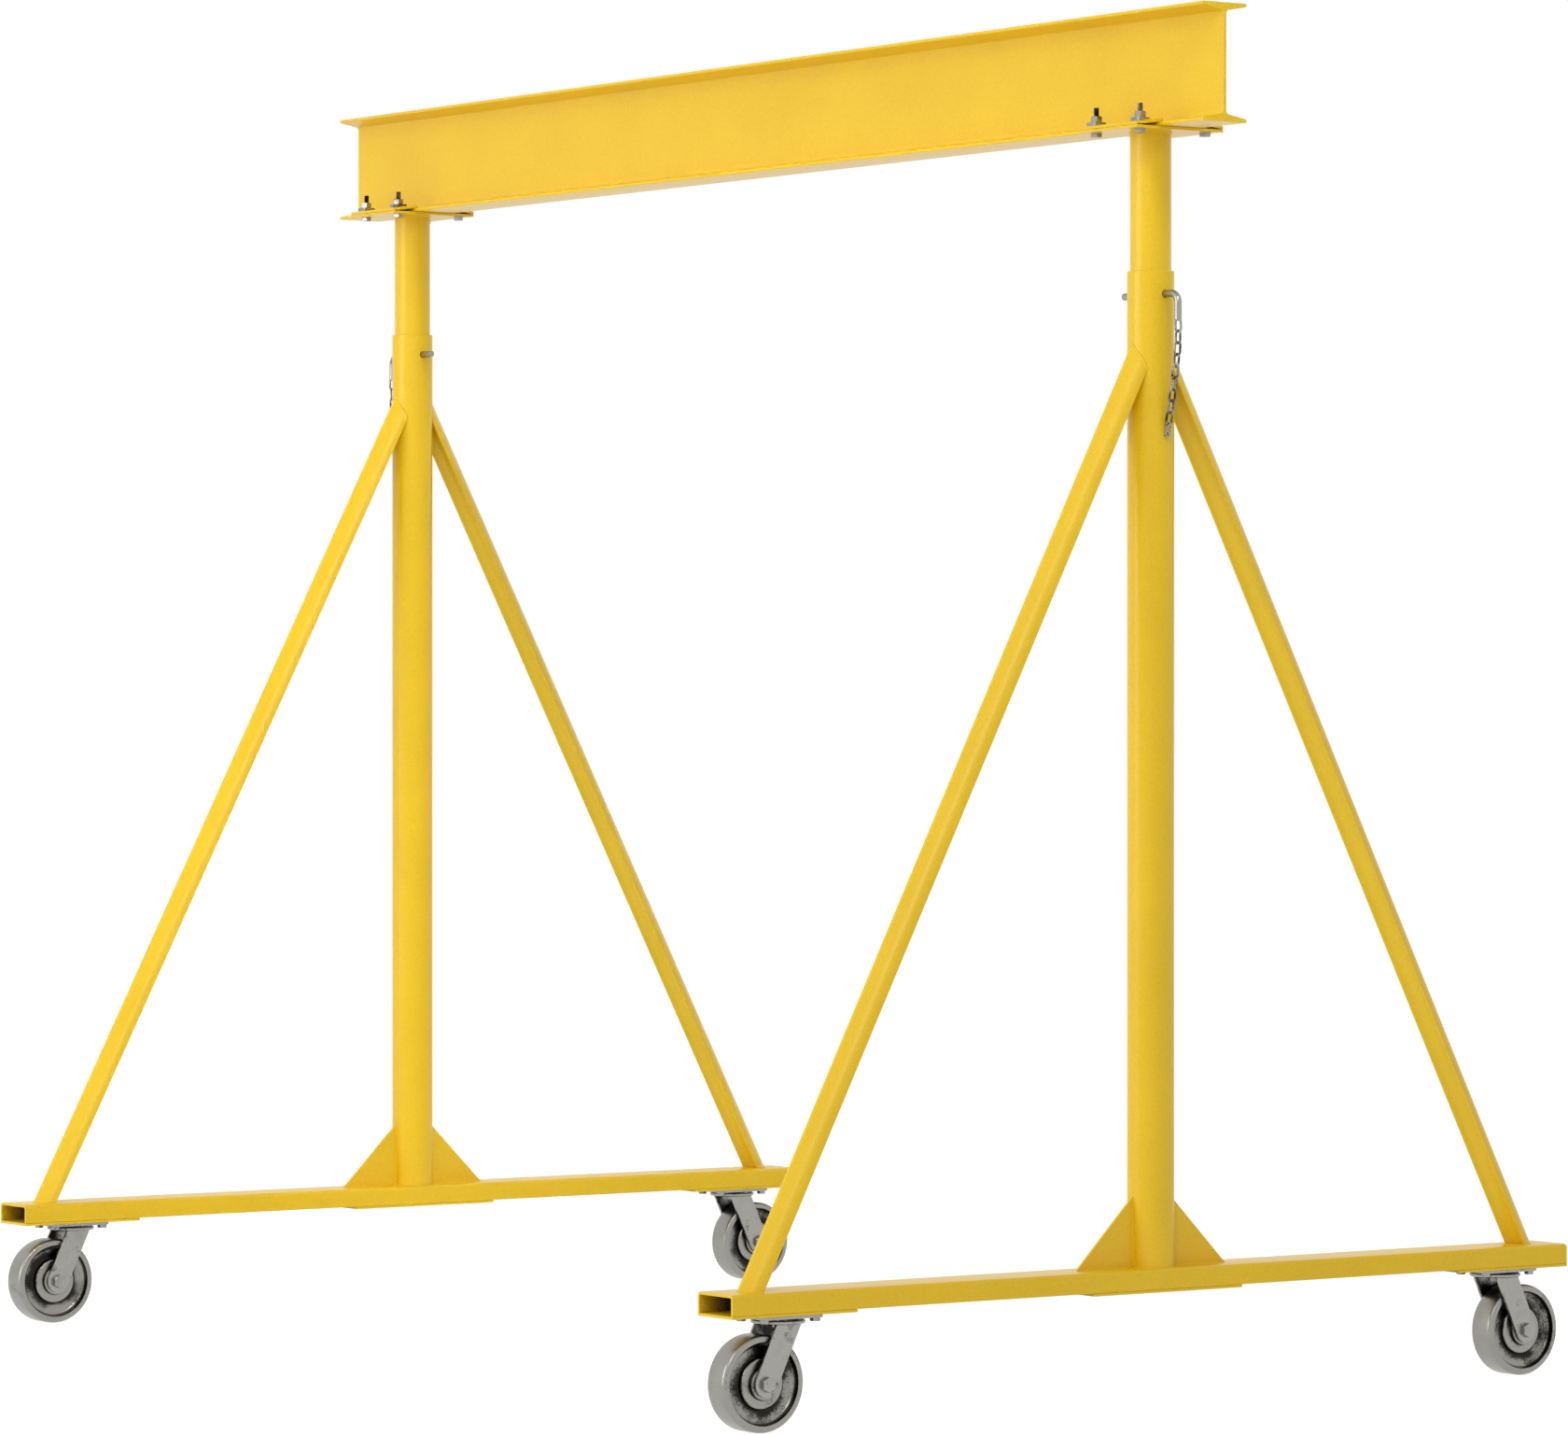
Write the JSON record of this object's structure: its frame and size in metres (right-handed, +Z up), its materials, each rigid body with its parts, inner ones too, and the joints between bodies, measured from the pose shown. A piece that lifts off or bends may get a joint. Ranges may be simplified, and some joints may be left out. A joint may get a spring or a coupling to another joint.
{
  "type": "portable gantry crane",
  "caption": "Height-adjustable portable gantry crane: an I-beam on telescoping A-frame legs that roll on swivel casters.",
  "frame": {"origin": "on the floor, under the middle of the beam", "axes": "+X along the beam, +Y along the base rails, +Z up"},
  "size_m": [3.5052, 2.286, 2.9972],
  "materials": {
    "yellow_paint": "yellow powder coat, satin",
    "bright_steel": "zinc plated",
    "cast_wheel": "plain machined steel"
  },
  "bodies": {
    "beam": {"i_beam": "yellow_paint"},
    "left_saddle": {"left_saddle_plate": "yellow_paint", "left_inner_mast": "yellow_paint", "left_front_clamp_plate": "yellow_paint", "left_rear_clamp_plate": "yellow_paint", "left_front_inner_clamp_bolt": "bright_steel", "left_front_outer_clamp_bolt": "bright_steel", "left_rear_inner_clamp_bolt": "bright_steel", "left_rear_outer_clamp_bolt": "bright_steel"},
    "left_leg": {"left_mast": "yellow_paint", "left_base_rail": "yellow_paint", "left_centre_pad": "yellow_paint", "left_chain_stud": "bright_steel", "left_keeper_chain": "bright_steel", "left_front_brace": "yellow_paint", "left_front_gusset": "yellow_paint", "left_front_caster_pad": "yellow_paint", "left_front_caster_plate": "bright_steel", "left_rear_brace": "yellow_paint", "left_rear_gusset": "yellow_paint", "left_rear_caster_pad": "yellow_paint", "left_rear_caster_plate": "bright_steel"},
    "left_lock_pin": {"left_lock_pin": "bright_steel"},
    "left_front_caster_fork": {"left_front_caster_fork": "bright_steel", "left_front_caster_axle": "bright_steel"},
    "left_front_caster_wheel": {"left_front_caster_wheel": "cast_wheel"},
    "left_rear_caster_fork": {"left_rear_caster_fork": "bright_steel", "left_rear_caster_axle": "bright_steel"},
    "left_rear_caster_wheel": {"left_rear_caster_wheel": "cast_wheel"},
    "right_saddle": {"right_saddle_plate": "yellow_paint", "right_inner_mast": "yellow_paint", "right_front_clamp_plate": "yellow_paint", "right_rear_clamp_plate": "yellow_paint", "right_front_inner_clamp_bolt": "bright_steel", "right_front_outer_clamp_bolt": "bright_steel", "right_rear_inner_clamp_bolt": "bright_steel", "right_rear_outer_clamp_bolt": "bright_steel"},
    "right_leg": {"right_mast": "yellow_paint", "right_base_rail": "yellow_paint", "right_centre_pad": "yellow_paint", "right_chain_stud": "bright_steel", "right_keeper_chain": "bright_steel", "right_front_brace": "yellow_paint", "right_front_gusset": "yellow_paint", "right_front_caster_pad": "yellow_paint", "right_front_caster_plate": "bright_steel", "right_rear_brace": "yellow_paint", "right_rear_gusset": "yellow_paint", "right_rear_caster_pad": "yellow_paint", "right_rear_caster_plate": "bright_steel"},
    "right_lock_pin": {"right_lock_pin": "bright_steel"},
    "right_front_caster_fork": {"right_front_caster_fork": "bright_steel", "right_front_caster_axle": "bright_steel"},
    "right_front_caster_wheel": {"right_front_caster_wheel": "cast_wheel"},
    "right_rear_caster_fork": {"right_rear_caster_fork": "bright_steel", "right_rear_caster_axle": "bright_steel"},
    "right_rear_caster_wheel": {"right_rear_caster_wheel": "cast_wheel"}
  },
  "joints": [
    {"name": "left_saddle_slide", "type": "slide", "parent": "beam", "child": "left_saddle", "axis": [1, 0, 0], "range_m": [-0.1524, 0.9144]},
    {"name": "left_height", "type": "slide", "parent": "left_saddle", "child": "left_leg", "axis": [0, 0, -1], "range_m": [0, 0.9144]},
    {"name": "left_pin_pull", "type": "slide", "parent": "left_leg", "child": "left_lock_pin", "axis": [-1, 0, 0], "range_m": [0, 0.156], "deforming": ["left_keeper_chain"]},
    {"name": "left_front_caster_swivel", "type": "hinge", "parent": "left_leg", "child": "left_front_caster_fork", "pos_m": [-1.4986, -0.98425, 0.22], "axis": [0, 0, 1], "continuous": true},
    {"name": "left_front_caster_roll", "type": "hinge", "parent": "left_front_caster_fork", "child": "left_front_caster_wheel", "pos_m": [-1.4986, -1.0414, 0.1016], "axis": [1, 0, 0], "continuous": true},
    {"name": "left_rear_caster_swivel", "type": "hinge", "parent": "left_leg", "child": "left_rear_caster_fork", "pos_m": [-1.4986, 0.98425, 0.22], "axis": [0, 0, 1], "continuous": true},
    {"name": "left_rear_caster_roll", "type": "hinge", "parent": "left_rear_caster_fork", "child": "left_rear_caster_wheel", "pos_m": [-1.4986, 1.0414, 0.1016], "axis": [1, 0, 0], "continuous": true},
    {"name": "right_height", "type": "slide", "parent": "right_leg", "child": "right_saddle", "axis": [0, 0, 1], "range_m": [0, 0.9144]},
    {"name": "right_saddle_slide", "type": "slide", "parent": "right_saddle", "child": "beam", "axis": [1, 0, 0], "range_m": [-0.1524, 0.9144]},
    {"name": "right_pin_pull", "type": "slide", "parent": "right_leg", "child": "right_lock_pin", "axis": [1, 0, 0], "range_m": [0, 0.156], "deforming": ["right_keeper_chain"]},
    {"name": "right_front_caster_swivel", "type": "hinge", "parent": "right_leg", "child": "right_front_caster_fork", "pos_m": [1.4986, -0.98425, 0.22], "axis": [0, 0, 1], "continuous": true},
    {"name": "right_front_caster_roll", "type": "hinge", "parent": "right_front_caster_fork", "child": "right_front_caster_wheel", "pos_m": [1.4986, -1.0414, 0.1016], "axis": [1, 0, 0], "continuous": true},
    {"name": "right_rear_caster_swivel", "type": "hinge", "parent": "right_leg", "child": "right_rear_caster_fork", "pos_m": [1.4986, 0.98425, 0.22], "axis": [0, 0, 1], "continuous": true},
    {"name": "right_rear_caster_roll", "type": "hinge", "parent": "right_rear_caster_fork", "child": "right_rear_caster_wheel", "pos_m": [1.4986, 1.0414, 0.1016], "axis": [1, 0, 0], "continuous": true}
  ]
}
